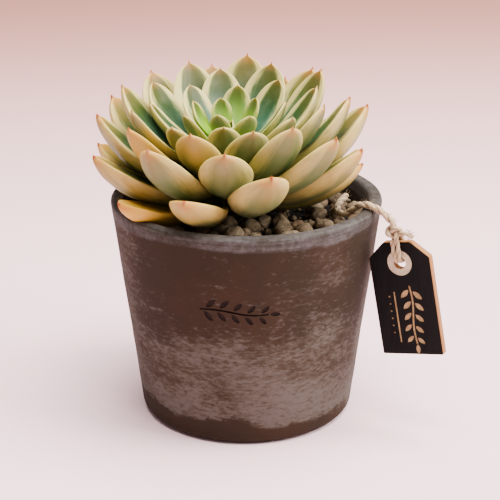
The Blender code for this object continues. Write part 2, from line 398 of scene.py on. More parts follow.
def fired_clay(settings):
    """Unglazed fired clay: dull and warm, with a chalky deposit rubbed over it, painted light in the same
    colour over its right half, and a few burnt pits.
    """
    material, tree, shader = new_material("unglazed fired clay", 0.88, Specular_IOR_Level=0.25)
    place = add_node(tree, "ShaderNodeTexCoord", out=3)
    height = add_node(tree, "ShaderNodeSeparateXYZ", {0: place}, out=2)
    sideways = height.node.outputs["X"]
    warm = add_node(tree, NOISE, {"Vector": place, "Scale": 30.0, "Detail": 6.0, "Roughness": 0.6})
    clay = add_node(
        tree,
        RAMP,
        {0: warm},
        stops=[(0.3, "#1C140A"), (0.47, "#24190C"), (0.58, "#2D1B0E"), (0.72, "#2E2414")],
    )
    tinted = add_node(tree, MIX, {0: 0.35, 6: clay, 7: tuple(settings.clay)}, 2, data_type="RGBA")
    # Cloudy patches of the deposit, a few centimetres across
    cloud_place = add_node(tree, "ShaderNodeMapping", {"Vector": place, "Scale": (30.0, 30.0, 48.0)})
    clouds = add_node(tree, NOISE, {"Vector": cloud_place, "Scale": 1.0, "Detail": 5.0, "Roughness": 0.6})
    # Gaps rubbed through it, about a millimetre across and drawn out on a slant
    slant = add_node(
        tree,
        "ShaderNodeMapping",
        {"Vector": place, "Rotation": (0.0, 0.42, 0.0), "Scale": (380.0, 380.0, 900.0)},
    )
    rubbing = add_node(
        tree, NOISE, {"Vector": slant, "Scale": 1.0, "Detail": 5.0, "Roughness": 0.62, "Distortion": 0.4}
    )
    strokes_place = add_node(
        tree,
        "ShaderNodeMapping",
        {"Vector": place, "Rotation": (0.0, 0.2, 0.0), "Scale": (40.0, 40.0, 420.0)},
    )
    strokes = add_node(
        tree, NOISE, {"Vector": strokes_place, "Scale": 1.0, "Detail": 5.0, "Roughness": 0.6}
    )
    # It is heaviest over the lower half, and stops in a wavy line above the foot
    wave = add_node(tree, MATH, {0: clouds, 1: 0.02}, operation="MULTIPLY")
    waved = add_node(tree, MATH, {0: height, 1: wave}, operation="ADD")
    rising = add_node(
        tree, RANGE, {0: waved, 1: 0.0165, 2: 0.022, 3: -0.5, 4: 0.0}, interpolation_type=SMOOTH
    )
    falling = add_node(
        tree, RANGE, {0: height, 1: 0.02, 2: 0.072, 3: 0.15, 4: -0.16}, interpolation_type=SMOOTH
    )
    # Painted light: the deposit is laid heavier over the right half, which the lamp on the right lights. It is
    # also heavier in a narrow band at the far left edge.
    painted_light_right = add_node(
        tree, RANGE, {0: sideways, 1: 0.005, 2: 0.05, 3: 0.0, 4: 0.05}, interpolation_type=SMOOTH
    )
    left_side = add_node(
        tree, RANGE, {0: sideways, 1: -0.052, 2: -0.036, 3: 0.08, 4: 0.0}, interpolation_type=SMOOTH
    )
    deposit_and_painted_light = rising
    for part in (falling, painted_light_right, left_side):
        deposit_and_painted_light = add_node(tree, MATH, {0: deposit_and_painted_light, 1: part}, operation="ADD")
    film_amount = add_node(tree, MATH, {0: deposit_and_painted_light, 1: clouds}, operation="ADD")
    rub = add_node(tree, RANGE, {0: rubbing, 1: 0.25, 2: 0.75, 3: -0.3, 4: 0.3})
    stroke = add_node(tree, RANGE, {0: strokes, 1: 0.25, 2: 0.75, 3: -0.12, 4: 0.12})
    amount = add_node(tree, MATH, {0: film_amount, 1: rub}, operation="ADD")
    amount = add_node(tree, MATH, {0: amount, 1: stroke}, operation="ADD")
    # The film and the deposit both carry the painted light on the right half.
    film = add_node(
        tree, RANGE, {0: film_amount, 1: 0.38, 2: 0.7, 3: 0.0, 4: 0.75}, interpolation_type=SMOOTH
    )
    deposit = add_node(
        tree, RANGE, {0: amount, 1: 0.4, 2: 0.86, 3: 0.0, 4: 0.68}, interpolation_type=SMOOTH
    )
    dusty = add_node(tree, MIX, {0: film, 6: tinted, 7: hex_colour("#3B3224")}, 2, data_type="RGBA")
    chalky = add_node(tree, MIX, {0: deposit, 6: dusty, 7: tuple(settings.bloom)}, 2, data_type="RGBA")
    # The worn band below the rim, with fine turning lines in it
    band_start = POT_HEIGHT - settings.rim_band
    ragged = add_node(tree, MATH, {0: clouds, 1: 0.007}, operation="MULTIPLY")
    band_height = add_node(tree, MATH, {0: height, 1: ragged}, operation="ADD")
    band = add_node(
        tree,
        RANGE,
        {0: band_height, 1: band_start + 0.0028, 2: band_start + 0.0045, 3: 0.0, 4: 0.9},
        interpolation_type=SMOOTH,
    )
    line_place = add_node(tree, "ShaderNodeMapping", {"Vector": place, "Scale": (45.0, 45.0, 1700.0)})
    lines = add_node(tree, NOISE, {"Vector": line_place, "Scale": 1.0, "Detail": 4.0, "Roughness": 0.6})
    grit = add_node(tree, NOISE, {"Vector": place, "Scale": 420.0, "Detail": 4.0, "Roughness": 0.75})
    worn = add_node(tree, MATH, {0: lines, 1: clouds}, operation="ADD")
    worn = add_node(tree, MATH, {0: worn, 1: grit}, operation="ADD")
    worn = add_node(tree, MATH, {0: worn, 1: 3.0}, operation="DIVIDE")
    band_colour = add_node(
        tree,
        RAMP,
        {0: worn},
        stops=[(0.38, "#1F1813"), (0.46, "#37322D"), (0.52, "#43403E"), (0.62, "#5A5857")],
    )
    surface = add_node(tree, MIX, {0: band, 6: chalky, 7: band_colour}, 2, data_type="RGBA")
    # Pinholes left by burnt grit, under a millimetre across
    holes = add_node(
        tree, "ShaderNodeTexVoronoi", {"Vector": place, "Scale": 260.0, "Randomness": 1.0}, feature="F1"
    )
    thinning = add_node(tree, NOISE, {"Vector": place, "Scale": 90.0, "Detail": 2.0})
    hole_size = add_node(tree, RANGE, {0: thinning, 1: 0.48, 2: 0.75, 3: 0.0, 4: 0.26})
    hole = add_node(tree, MATH, {0: holes, 1: hole_size}, operation="LESS_THAN")
    dark_hole = add_node(tree, MATH, {0: hole, 1: 0.6}, operation="MULTIPLY")
    final = add_node(tree, MIX, {0: dark_hole, 6: surface, 7: hex_colour("#1C130F")}, 2, data_type="RGBA")
    relief = add_node(tree, MATH, {0: grit, 1: hole}, operation="SUBTRACT")
    relief = add_node(tree, MATH, {0: relief, 1: rubbing}, operation="ADD")
    normal = add_node(tree, "ShaderNodeBump", {"Strength": 0.4, "Distance": 0.0004, "Height": relief})
    wire(tree, shader, final, normal)
    return material


def pressed_clay():
    """Clay pressed in with a stamp: darker, because dirt and shade stay in it."""
    material, tree, shader = new_material("pressed clay", 0.9, Specular_IOR_Level=0.2)
    place = add_node(tree, "ShaderNodeTexCoord", out=3)
    grain = add_node(tree, NOISE, {"Vector": place, "Scale": 500.0, "Detail": 4.0})
    colour = add_node(tree, RAMP, {0: grain}, stops=[(0.35, "#120B08"), (0.7, "#21150F")])
    wire(tree, shader, colour)
    return material


class SUCCULENT_OT_pot(bpy.types.Operator):
    """Turn the tapered clay pot and press the sprig into its front"""

    bl_idname = "succulent.pot"
    bl_label = "Pot"

    def execute(self, context):
        settings = context.scene.pot_settings
        foot, lip = 4 * MM, 1.8 * MM
        lip_height = POT_HEIGHT - lip
        inner = outer_radius(lip_height) - POT_WALL
        foot_points = arc((outer_radius(0) - foot, foot), foot, -90, -4, 8)
        outer_lip = arc((outer_radius(lip_height) - lip, lip_height), lip, 0, 90, 7)
        inner_lip = arc((inner + lip, lip_height), lip, 90, 180, 7)
        floor_edge = (outer_radius(POT_FLOOR) - POT_WALL, POT_FLOOR)
        profile = [(0, 0)] + foot_points
        profile += straight(foot_points[-1], outer_lip[0], 44) + outer_lip + inner_lip
        profile += straight(inner_lip[-1], floor_edge, 24) + [floor_edge, (0, POT_FLOOR)]
        bm = bmesh.new()
        turn(bm, profile, 160)
        for vert in bm.verts:
            if vert.co.z > foot / 2 and vert.co.xy.length > 0.9 * inner:
                wobble = noise.noise(vert.co * 45) * 0.18 + noise.noise(vert.co * 160) * 0.07
                vert.co.xy *= 1 + wobble * MM / vert.co.xy.length
        materials = [fired_clay(settings), pressed_clay()]
        pot = add_piece("clay_pot", bm, materials, ["pot"], 50)
        stamp_height = 60 * MM
        stamp_azimuth = math.radians(-95.3)
        stamp_tilt = Matrix.Rotation(math.radians(-3), 2)

        def place(point, level):
            point = stamp_tilt @ point
            at = stamp_height + point.y
            radius = outer_radius(at) - settings.stamp_depth + level * 2 * MM
            return around(radius, stamp_azimuth + point.x / outer_radius(at), at)

        shapes = sprig_shapes(settings.stamp_length, 8.5 * MM, 5)
        subtract(pot, stamp_cutter("stamp", shapes, place, len(materials), 1))
        return {"FINISHED"}


# Soil and gravel


def potting_soil(settings):
    """Damp peaty soil: nearly black, crumbly and dull."""
    material, tree, shader = new_material("damp potting soil", 0.92, Specular_IOR_Level=0.3)
    place = add_node(tree, "ShaderNodeTexCoord", out=3)
    crumbs = add_node(tree, NOISE, {"Vector": place, "Scale": 650.0, "Detail": 6.0, "Roughness": 0.7})
    shade = add_node(
        tree, RAMP, {0: crumbs}, stops=[(0.35, "#060403"), (0.55, "#150F0B"), (0.75, "#33251B")]
    )
    colour = add_node(tree, MIX, {0: 0.4, 6: shade, 7: tuple(settings.soil)}, 2, data_type="RGBA")
    normal = add_node(tree, "ShaderNodeBump", {"Strength": 0.9, "Distance": 0.0008, "Height": crumbs})
    wire(tree, shader, colour, normal)
    return material


def pumice():
    """Pumice and baked clay grit: pale tan to grey-brown stones with a dusty, pitted skin."""
    material, tree, shader = new_material("pumice grit", 0.93, Specular_IOR_Level=0.25)
    place = add_node(tree, "ShaderNodeTexCoord", out=3)
    tone = add_node(tree, "ShaderNodeAttribute", out=2, attribute_name="tone")
    base = add_node(
        tree,
        RAMP,
        {0: tone},
        stops=[
            (0.0, "#44362A"),
            (0.25, "#705D46"),
            (0.5, "#968268"),
            (0.75, "#6E5036"),
            (0.9, "#9C8A70"),
            (1.0, "#7E4C26"),
        ],
    )
    grain = add_node(tree, NOISE, {"Vector": place, "Scale": 900.0, "Detail": 6.0, "Roughness": 0.75})
    dust = add_node(tree, RAMP, {0: grain}, stops=[(0.35, "#140E0A"), (0.5, "#66573F"), (0.7, "#A39072")])
    colour = add_node(tree, MIX, {0: 0.42, 6: base, 7: dust}, 2, data_type="RGBA")
    normal = add_node(tree, "ShaderNodeBump", {"Strength": 0.8, "Distance": 0.0005, "Height": grain})
    wire(tree, shader, colour, normal)
    return material


def twine_points():
    rim_middle = POT_TOP_RADIUS - POT_WALL / 2
    return [
        around(rim_middle + out * MM, math.radians(azimuth), POT_HEIGHT + up * MM)
        for out, azimuth, up in TWINE_ROUTE
    ]


def soil_height(x, y):
    """The uneven top of the soil."""
    spot = Vector((x, y, 0))
    level = SOIL_HIGH[2] + 3.2 * MM
    return level + noise.noise(spot * 90) * 1.1 * MM + noise.noise(spot * 420) * 0.5 * MM


class SUCCULENT_OT_soil(bpy.types.Operator):
    """Fill the pot with crumbly soil"""

    bl_idname = "succulent.soil"
    bl_label = "Soil"

    def execute(self, context):
        top = SOIL_HIGH[2]
        clear = 0.25 * MM
        wide = outer_radius(top) - POT_WALL - clear
        low = SOIL_LOW[2]
        narrow = outer_radius(low) - POT_WALL - clear
        profile = [(0, low), (narrow, low), (wide, top), *straight((wide, top), (0, top), 60), (0, top)]
        bm = bmesh.new()
        turn(bm, profile, 180)
        for vert in bm.verts:
            if vert.co.z > top - 0.01 * MM and vert.co.xy.length < wide - 0.01 * MM:
                vert.co.z = soil_height(vert.co.x, vert.co.y)
        add_piece("soil_bed", bm, [potting_soil(context.scene.gravel_settings)], ["soil"])
        return {"FINISHED"}


class SUCCULENT_OT_gravel(bpy.types.Operator):
    """Scatter pumice stones over the soil, clear of the stem and under the twine"""

    bl_idname = "succulent.gravel"
    bl_label = "Gravel"

    def execute(self, context):
        settings = context.scene.gravel_settings
        chance = random.Random(11)
        reach = outer_radius(SOIL_HIGH[2] + 4 * MM) - POT_WALL
        twine = smooth_route(twine_points(), 3 * MM)
        bm = bmesh.new()
        tone = bm.verts.layers.float.new("tone")
        placed = []
        attempts = settings.stones * 14
        for attempt in range(attempts):
            if len(placed) >= settings.stones:
                break
            shrink = 1 - 0.78 * min(1, 2.2 * attempt / attempts)
            radius = settings.stone_size / 2 * shrink * chance.uniform(0.72, 1)
            out = (reach - radius) * math.sqrt(chance.uniform(0.1, 1))
            centre = around(out, chance.uniform(0, 2 * math.pi), 0)
            if (centre - STEM_PLACE).xy.length < STEM_RADIUS + radius:
                continue
            if any((centre - other).xy.length < 0.9 * (radius + size) for other, size in placed):
                continue
            if radius > 1.6 * MM and noise.noise(centre * 75) < -0.12:
                continue
            lift = soil_height(centre.x, centre.y) + radius * 0.5
            near = [p for p in twine if (p - centre).xy.length < radius + 2 * MM]
            if near:
                lift = min(lift, min(p.z for p in near) - 1.5 * MM - radius * 0.8)
            placed.append((centre.copy(), radius))
            centre.z = lift
            self.add_stone(bm, tone, centre, radius, chance)
        outward(bm)
        add_piece("gravel_stones", bm, [pumice()], ["gravel"])
        return {"FINISHED"}

    def add_stone(self, bm, tone, centre, radius, chance):
        """A ball flattened by a few random planes, then roughened."""
        made = bmesh.ops.create_icosphere(bm, subdivisions=3 if radius > 2.2 * MM else 2, radius=1)["verts"]
        planes = []
        for _ in range(9):
            facing = Vector([chance.gauss(0, 1) for _ in range(3)]).normalized()
            planes.append((facing, chance.uniform(0.72, 0.98)))
        stretch = Vector([chance.uniform(0.85, 1.15), chance.uniform(0.85, 1.15), chance.uniform(0.75, 1)])
        shift = Vector([chance.uniform(-50, 50) for _ in range(3)])
        shade = chance.random()
        for vert in made:
            facing = vert.co.normalized()
            facets = [level / facing.dot(plane) for plane, level in planes if facing.dot(plane) > 0.3]
            cut = min([1.05] + facets)
            lump = 0.13 * noise.noise(facing * 1.7 + shift) + 0.09 * noise.noise(facing * 4.5 + shift)
            vert.co = centre + facing * stretch * radius * (cut + lump)
            vert[tone] = shade


# Plant


def corky_stem():
    """The stem: dry, brown and ringed by leaf scars below, with painted shade darkening that bark under the
    rosette, and green where it still grows.
    """
    material, tree, shader = new_material("corky stem skin", 0.8)
    place = add_node(tree, "ShaderNodeTexCoord", out=3)
    rings = add_node(
        tree, "ShaderNodeTexWave", {"Vector": place, "Scale": 110.0, "Distortion": 4.0}, bands_direction="Z"
    )
    # Painted shade: the bark is painted very dark for the shade under the rosette, on top of its own brown.
    bark_and_painted_shade = add_node(tree, RAMP, {0: rings}, stops=[(0.2, "#1D150D"), (0.8, "#3E3220")])
    height = add_node(tree, "ShaderNodeSeparateXYZ", {0: place}, out=2)
    fresh = add_node(
        tree, RANGE, {0: height, 1: POT_HEIGHT + 8 * MM, 2: POT_HEIGHT + 16 * MM}, interpolation_type=SMOOTH
    )
    colour = add_node(tree, MIX, {0: fresh, 6: bark_and_painted_shade, 7: hex_colour("#5F7A14")}, 2, data_type="RGBA")
    normal = add_node(tree, "ShaderNodeBump", {"Strength": 0.5, "Distance": 0.0006, "Height": rings})
    wire(tree, shader, colour, normal)
    return material


class SUCCULENT_OT_stem(bpy.types.Operator):
    """Turn the short stem that carries the leaves"""

    bl_idname = "succulent.stem"
    bl_label = "Stem"

    def execute(self, context):
        low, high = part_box("stem")
        crown = POT_HEIGHT - CROWN_BELOW_RIM
        top = high[2] - MM
        bottom = (STEM_RADIUS, low[2])
        shoulder = (STEM_RADIUS, crown)
        peak = (STEM_TOP_RADIUS, top)
        profile = [(0, low[2]), bottom, *straight(bottom, shoulder, 14), shoulder]
        profile += straight(shoulder, peak, 14) + [peak, (0, high[2])]
        bm = bmesh.new()
        turn(bm, profile, 40)
        for vert in bm.verts:
            vert.co.xy *= 0.97 + 0.05 * noise.noise(vert.co * 300)
            vert.co += STEM_PLACE
        add_piece("stem_core", bm, [corky_stem()], ["stem"])
        return {"FINISHED"}


def leaf_skin(settings):
    """A waxy leaf skin: green along the middle, cream margins, a dusty bloom and a small red tip."""
    material, tree, shader = new_material(
        "waxy variegated leaf skin",
        0.46,
        Subsurface_Weight=0.35,
        Subsurface_Radius=(0.8, 0.75, 0.3),
        Subsurface_Scale=0.004,
        Specular_IOR_Level=0.3,
    )
    names = ("across", "along", "upper", "age", "amber", "seed")
    across, along, upper, age, amber, seed = [
        add_node(tree, "ShaderNodeAttribute", out=2, attribute_name=name) for name in names
    ]
    place = add_node(tree, "ShaderNodeTexCoord", out=3)
    cream = tuple(settings.margin)
    # The variegation frays in streaks along the leaf, one to three millimetres wide
    leaf_number = add_node(tree, MATH, {0: seed, 1: 37.0}, operation="MULTIPLY")
    spot = add_node(tree, "ShaderNodeCombineXYZ", {0: across, 1: along, 2: leaf_number})
    broad = add_node(tree, NOISE, {"Vector": spot, "Scale": 4.2, "Detail": 4.0, "Roughness": 0.6})
    drawn_out = add_node(tree, "ShaderNodeMapping", {"Vector": spot, "Scale": (16.0, 1.3, 1.0)})
    fine = add_node(tree, NOISE, {"Vector": drawn_out, "Scale": 1.0, "Detail": 3.0})
    side = add_node(tree, MATH, {0: across}, operation="ABSOLUTE")
    drift = add_node(tree, RANGE, {0: broad, 1: 0.2, 2: 0.8, 3: -0.22, 4: 0.22})
    fray = add_node(tree, RANGE, {0: fine, 1: 0.2, 2: 0.8, 3: -0.1, 4: 0.1})
    edgewards = add_node(tree, MATH, {0: side, 1: drift}, operation="ADD")
    edgewards = add_node(tree, MATH, {0: edgewards, 1: fray}, operation="ADD")
    cloud = add_node(tree, NOISE, {"Vector": place, "Scale": 110.0, "Detail": 3.0, "Roughness": 0.55})
    # Upper face: a dark stripe in a glaucous field inside the cream margin
    outer_half = add_node(tree, RANGE, {0: along, 1: 0.35, 2: 0.85}, interpolation_type=SMOOTH)
    glaucous = add_node(
        tree, MIX, {0: outer_half, 6: hex_colour("#507862"), 7: hex_colour("#465A26")}, 2, data_type="RGBA"
    )
    stripe = add_node(
        tree, MIX, {0: outer_half, 6: hex_colour("#244E38"), 7: tuple(settings.stripe)}, 2, data_type="RGBA"
    )
    field = add_node(tree, RANGE, {0: edgewards, 1: 0.5, 2: 0.8, 3: 1.0, 4: 0.0}, interpolation_type=SMOOTH)
    upper_face = add_node(tree, MIX, {0: field, 6: cream, 7: glaucous}, 2, data_type="RGBA")
    middle = add_node(
        tree, RANGE, {0: edgewards, 1: 0.34, 2: 0.66, 3: 1.0, 4: 0.0}, interpolation_type=SMOOTH
    )
    upper_face = add_node(tree, MIX, {0: middle, 6: upper_face, 7: stripe}, 2, data_type="RGBA")
    # Lower face: sage under the blade and greener at its base, with cream edges
    field = add_node(tree, RANGE, {0: edgewards, 1: 0.42, 2: 1.0, 3: 1.0, 4: 0.0}, interpolation_type=SMOOTH)
    lower_face = add_node(tree, MIX, {0: field, 6: cream, 7: hex_colour("#586840")}, 2, data_type="RGBA")
    blotch = add_node(tree, RANGE, {0: broad, 1: 0.5, 2: 0.72, 3: 0.0, 4: 0.5}, interpolation_type=SMOOTH)
    lower_face = add_node(
        tree, MIX, {0: blotch, 6: lower_face, 7: hex_colour("#47592E")}, 2, data_type="RGBA"
    )
    patch = add_node(tree, RANGE, {0: cloud, 1: 0.4, 2: 0.75, 3: 0.0, 4: 0.3}, interpolation_type=SMOOTH)
    lower_face = add_node(tree, MIX, {0: patch, 6: lower_face, 7: hex_colour("#7C7648")}, 2, data_type="RGBA")
    near_base = add_node(
        tree, RANGE, {0: along, 1: 0.25, 2: 0.85, 3: 0.95, 4: 0.1}, interpolation_type=SMOOTH
    )
    field = add_node(tree, RANGE, {0: edgewards, 1: 0.3, 2: 0.95, 3: 1.0, 4: 0.0}, interpolation_type=SMOOTH)
    green_base = add_node(tree, MATH, {0: field, 1: near_base}, operation="MULTIPLY")
    lower_face = add_node(
        tree, MIX, {0: green_base, 6: lower_face, 7: hex_colour("#5A6C3A")}, 2, data_type="RGBA"
    )
    keel = add_node(tree, RANGE, {0: edgewards, 1: 0.03, 2: 0.26, 3: 1.0, 4: 0.0}, interpolation_type=SMOOTH)
    near_tip = add_node(tree, RANGE, {0: along, 1: 0.45, 2: 0.9, 3: 0.0, 4: 0.5}, interpolation_type=SMOOTH)
    keel = add_node(tree, MATH, {0: keel, 1: near_tip}, operation="MULTIPLY")
    lower_face = add_node(tree, MIX, {0: keel, 6: lower_face, 7: hex_colour("#4C5230")}, 2, data_type="RGBA")
    is_upper = add_node(tree, RANGE, {0: upper, 1: -0.12, 2: 0.12}, interpolation_type=SMOOTH)
    face = add_node(tree, MIX, {0: is_upper, 6: lower_face, 7: upper_face}, 2, data_type="RGBA")
    # A golden glow on the edges and round the tip, strongest on the old leaves
    edge = add_node(tree, RANGE, {0: side, 1: 0.5, 2: 1.0}, interpolation_type=SMOOTH)
    outwards = add_node(tree, RANGE, {0: along, 1: 0.2, 2: 0.8}, interpolation_type=SMOOTH)
    edge = add_node(tree, MATH, {0: edge, 1: outwards}, operation="MULTIPLY")
    tip_end = add_node(tree, RANGE, {0: along, 1: 0.68, 2: 0.98}, interpolation_type=SMOOTH)
    glow = add_node(tree, MATH, {0: edge, 1: tip_end}, operation="MAXIMUM")
    old = add_node(tree, RANGE, {0: age, 1: 0.05, 2: 0.7, 3: 0.4, 4: 0.08}, interpolation_type=SMOOTH)
    glow = add_node(tree, MATH, {0: glow, 1: old}, operation="MULTIPLY")
    face = add_node(tree, MIX, {0: glow, 6: face, 7: hex_colour("#C89E48")}, 2, data_type="RGBA")
    # Leaves that have turned amber, from their tips down
    mottled = add_node(tree, RANGE, {0: cloud, 1: 0.25, 2: 0.6, 3: 0.6, 4: 1.0}, interpolation_type=SMOOTH)
    downwards = add_node(tree, RANGE, {0: along, 1: 0.3, 2: 0.85, 3: 0.12, 4: 1.0}, interpolation_type=SMOOTH)
    turned = add_node(tree, MATH, {0: amber, 1: mottled}, operation="MULTIPLY")
    turned = add_node(tree, MATH, {0: turned, 1: downwards}, operation="MULTIPLY")
    face = add_node(tree, MIX, {0: turned, 6: face, 7: hex_colour("#C4961E")}, 2, data_type="RGBA")
    # The fresh heart of the rosette
    young = add_node(tree, RANGE, {0: age, 1: 0.82, 2: 0.93}, interpolation_type=SMOOTH)
    near_base = add_node(tree, RANGE, {0: along, 1: 0.45, 2: 0.9, 3: 1.0, 4: 0.15}, interpolation_type=SMOOTH)
    heart = add_node(tree, MATH, {0: young, 1: near_base}, operation="MULTIPLY")
    face = add_node(tree, MIX, {0: heart, 6: face, 7: hex_colour("#6A9000")}, 2, data_type="RGBA")
    # The small hard tip
    warm = add_node(tree, RANGE, {0: along, 1: 0.9, 2: 0.965, 3: 0.0, 4: 0.55}, interpolation_type=SMOOTH)
    ripe = add_node(tree, RANGE, {0: age, 1: 0.2, 2: 0.95, 3: 1.0, 4: 0.3}, interpolation_type=SMOOTH)
    warm = add_node(tree, MATH, {0: warm, 1: ripe}, operation="MULTIPLY")
    face = add_node(tree, MIX, {0: warm, 6: face, 7: hex_colour("#B5742B")}, 2, data_type="RGBA")
    red = add_node(tree, RANGE, {0: along, 1: 0.965, 2: 0.99, 3: 0.0, 4: 0.95}, interpolation_type=SMOOTH)
    red = add_node(tree, MATH, {0: red, 1: ripe}, operation="MULTIPLY")
    face = add_node(tree, MIX, {0: red, 6: face, 7: tuple(settings.tip)}, 2, data_type="RGBA")
    # A dusty bloom that has been rubbed off in places
    bloom = add_node(tree, RANGE, {0: cloud, 1: 0.5, 2: 0.75, 3: 0.0, 4: 0.1}, interpolation_type=SMOOTH)
    face = add_node(tree, MIX, {0: bloom, 6: face, 7: hex_colour("#9A9A84")}, 2, data_type="RGBA")
    relief = add_node(tree, NOISE, {"Vector": place, "Scale": 700.0, "Detail": 2.0, "Roughness": 0.6})
    normal = add_node(tree, "ShaderNodeBump", {"Strength": 0.12, "Distance": 0.0003, "Height": relief})
    wire(tree, shader, face, normal)
    return material


def leaf_outline(s):
    """The leaf's half width along its length, 1 at its widest: a rounded blade and a small spike."""
    blade_end, widest, spike_start = 0.972, 0.657, 0.9
    blade = 0.0
    if s < blade_end:
        t = s / blade_end
        blade = (t / widest) ** 1.15 * ((1 - t) / (1 - widest)) ** 0.6
    spike = 0.15 * min(1, (1 - s) / (1 - spike_start)) * smoothstep(0.5, spike_start, s)
    return math.hypot(blade, spike)


def leaf_depth(s):
    """The leaf's thickness along its length, 1 at its thickest."""
    thickest = 0.55 / 1.15
    return (s / thickest) ** 0.55 * ((1 - s) / (1 - thickest)) ** 0.6


class LeafPlace:
    """Where a leaf starts and ends, and how it bends between them."""

    def __init__(self, base, tip, bend):
        self.base = base
        self.tip = tip
        outward = (tip - STEM_PLACE) * Vector((1, 1, 0))
        outward.normalize()
        self.sideways = Vector((-outward.y, outward.x, 0))
        chord = tip - base
        self.length = chord.length
        self.face = self.sideways.cross(chord).normalized()
        if self.face.dot(outward) > self.face.z:
            self.face.negate()
        self.middle = (base + tip) / 2 - self.face * bend * self.length

    def midrib(self, s):
        """The midrib's point and upper normal, s from the base to the tip."""
        point = self.base * (1 - s) ** 2 + self.middle * (2 * s * (1 - s)) + self.tip * s**2
        along = (self.middle - self.base) * (1 - s) + (self.tip - self.middle) * s
        normal = self.sideways.cross(along).normalized()
        if normal.dot(self.face) < 0:
            normal.negate()
        return point, normal


class SUCCULENT_OT_leaves(bpy.types.Operator):
    """Grow each leaf of the rosette along its midrib"""

    bl_idname = "succulent.leaves"
    bl_label = "Leaves"

    def execute(self, context):
        settings = context.scene.leaf_settings
        skin = leaf_skin(settings)
        chance = random.Random(5)
        for number in range(1, LEAF_COUNT + 1):
            name = f"leaf_{number:02d}"
            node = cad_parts.get(name)
            seed = chance.random()
            if node is None:
                continue
            t = (number - 1) / (LEAF_COUNT - 1)
            points = [vert.co for vert in node.data.vertices]
            base = min(points, key=lambda p: (p - STEM_PLACE).xy.length).copy()
            tip = max(points, key=lambda p: (p - base).length).copy()
            place = LeafPlace(base, tip, profile_value(LEAF_BEND, t))
            bm = bmesh.new()
            self.grow(bm, place, t, seed, AMBER_LEAVES.get(number, 0), settings)
            add_piece(f"{name}_blade", bm, [skin], [name])
        self.add_bud(settings, skin)
        return {"FINISHED"}

    def add_bud(self, settings, skin):
        """The tightly folded leaves at the growing point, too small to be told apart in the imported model."""
        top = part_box("stem")[1][2]
        bm = bmesh.new()
        for k in range(6):
            facing = around(1, math.radians(40 + 137.5 * k), 0)
            base = STEM_PLACE + facing * (1.6 - 0.2 * k) * MM + Vector((0, 0, top - 2.5 * MM))
            tip = STEM_PLACE + facing * (5.4 - 0.75 * k) * MM + Vector((0, 0, top + (5.6 + 0.5 * k) * MM))
            self.grow(bm, LeafPlace(base, tip, 0.16), 1.0, k / 6, 0, settings)
        add_piece("heart_bud", bm, [skin])

    def grow(self, bm, place, t, seed, amber, settings):
        """A ball stretched along the midrib: its poles are the leaf's base and tip."""
        width = 2.8 * MM + settings.width_per_length * place.length
        names = ("across", "along", "upper", "age", "amber", "seed")
        floats = bm.verts.layers.float
        layers = {name: floats.get(name) or floats.new(name) for name in names}
        made = bmesh.ops.create_uvsphere(bm, u_segments=40, v_segments=44, radius=1)["verts"]
        shift = Vector((seed * 90, seed * 50, 0))
        for vert in made:
            s = min(max((1 + vert.co.z) / 2, 0), 1)
            ring = vert.co.xy.length
            point, normal = place.midrib(s)
            across = up = 0
            if ring > 1e-4:
                across = vert.co.y / ring
                up = vert.co.x / ring
                half_width = width / 2 * leaf_outline(s)
                thickness = width * leaf_depth(s)
                thickness *= 0.075 if up > 0 else 0.175 + 0.12 * (1 - smoothstep(0.15, 0.6, t))
                lift = up * thickness + 0.17 * half_width * across**2
                if up < 0:
                    keel = smoothstep(0.5, 0.85, s) * math.exp(-((across / 0.22) ** 2))
                    lift -= keel * 0.08 * thickness
                else:
                    channel = smoothstep(0.3, 0.7, s) * math.exp(-((across / 0.3) ** 2))
                    lift -= channel * 0.25 * thickness
                point = point + place.sideways * half_width * across + normal * lift
            vert.co = point
            vert.co += normal * noise.noise(point * 130 + shift) * 0.22 * MM
            vert[layers["across"]] = across
            vert[layers["along"]] = s
            vert[layers["upper"]] = up
            vert[layers["age"]] = t
            vert[layers["amber"]] = amber
            vert[layers["seed"]] = seed
        outward(bm)


# Tag


def tag_frame():
    """The tag's own axes, from its hole's middle on the front face: right, up along it, and out of it."""
    height = POT_HEIGHT - TAG_HOLE_BELOW_RIM
    hole = around(outer_radius(height) + TAG_HOLE_STANDOFF, TAG_AZIMUTH, height)
    level = Vector((math.cos(TAG_YAW), -math.sin(TAG_YAW), 0))
    right = level * math.cos(TAG_ROLL) + Vector((0, 0, 1)) * math.sin(TAG_ROLL)
    up = Vector((0, 0, 1)) * math.cos(TAG_ROLL) - level * math.sin(TAG_ROLL)
    out = right.cross(up)
    return Matrix.Translation(hole) @ Matrix((right, up, out)).transposed().to_4x4()


def black_paint(settings):
    """A thin matt black stain on plywood: the grain still shows a little."""
    material, tree, shader = new_material("matt black stain", 0.8, Specular_IOR_Level=0.12)
    place = add_node(tree, "ShaderNodeTexCoord", out=3)
    grain_place = add_node(
        tree,
        "ShaderNodeMapping",
        {"Vector": place, "Scale": (900.0, 900.0, 60.0), "Rotation": (0.0, -0.2, 0.0)},
    )
    grain = add_node(tree, NOISE, {"Vector": grain_place, "Scale": 1.0, "Detail": 4.0})
    colour = add_node(tree, RAMP, {0: grain}, stops=[(0.3, "#090808"), (0.6, "#110F0F"), (0.8, "#1C1918")])
    tinted = add_node(tree, MIX, {0: 0.5, 6: colour, 7: tuple(settings.paint)}, 2, data_type="RGBA")
    normal = add_node(tree, "ShaderNodeBump", {"Strength": 0.15, "Distance": 0.0002, "Height": grain})
    wire(tree, shader, tinted, normal)
    return material


